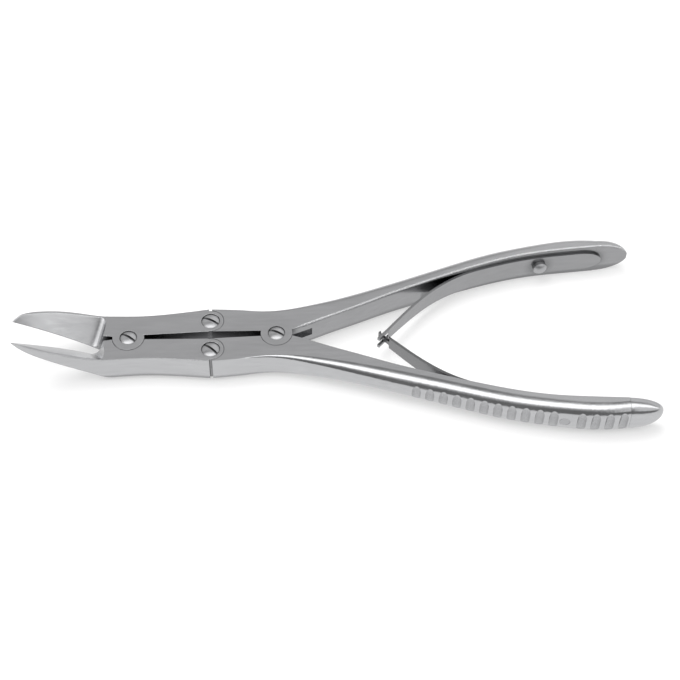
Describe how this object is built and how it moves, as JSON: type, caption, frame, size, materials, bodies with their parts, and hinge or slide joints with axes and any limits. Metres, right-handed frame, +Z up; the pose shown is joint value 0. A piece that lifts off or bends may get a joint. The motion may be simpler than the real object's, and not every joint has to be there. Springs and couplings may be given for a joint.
{
  "type": "bone rongeur",
  "caption": "Double-action bone cutting forceps with upswept ground blades, four-lever joint, grooved handles and two hooked leaf springs.",
  "frame": {"origin": "on the handle pivot's axis, in the plane of the joints' flat underside", "axes": "+X from the jaws towards the handle ends, +Y across towards the upper handle, +Z up out of the face that carries the screw heads"},
  "size_m": [0.1892, 0.0692, 0.0151],
  "materials": {
    "steel": "satin",
    "screw_steel": "polished",
    "spring_steel": "polished"
  },
  "bodies": {
    "lower_handle": {"lower_handle": "steel", "lower_link_screw": "screw_steel", "lower_spring_leaf": "spring_steel", "lower_spring_screw": "screw_steel"},
    "upper_handle": {"upper_handle": "steel", "handle_pivot_screw": "screw_steel", "upper_link_screw": "screw_steel", "upper_spring_leaf": "spring_steel", "upper_spring_screw": "screw_steel"},
    "lower_jaw": {"lower_jaw": "steel", "jaw_pivot_screw": "screw_steel"},
    "upper_jaw": {"upper_jaw": "steel"}
  },
  "joints": [
    {"name": "handle_pivot", "type": "hinge", "parent": "lower_handle", "child": "upper_handle", "pos_m": [0, 0, 0], "axis": [0, 0, -1], "range_deg": [0, 16.57], "stiffness_Nm_per_rad": 3, "springref_deg": -5.73, "deforming": ["upper_spring_leaf", "lower_spring_leaf"]},
    {"name": "lower_link", "type": "hinge", "parent": "lower_handle", "child": "lower_jaw", "pos_m": [-0.0196, -0.0054, 0], "axis": [0, 0, -1], "range_deg": [0, 14.9]},
    {"name": "upper_link", "type": "hinge", "parent": "upper_handle", "child": "upper_jaw", "pos_m": [-0.0196, 0.0054, 0], "axis": [0, 0, 1], "range_deg": [0, 14.9]}
  ],
  "couplings": [
    {"joint": "lower_link", "follows": "handle_pivot", "ratio": 0.8982},
    {"joint": "upper_link", "follows": "handle_pivot", "ratio": 0.8982}
  ]
}
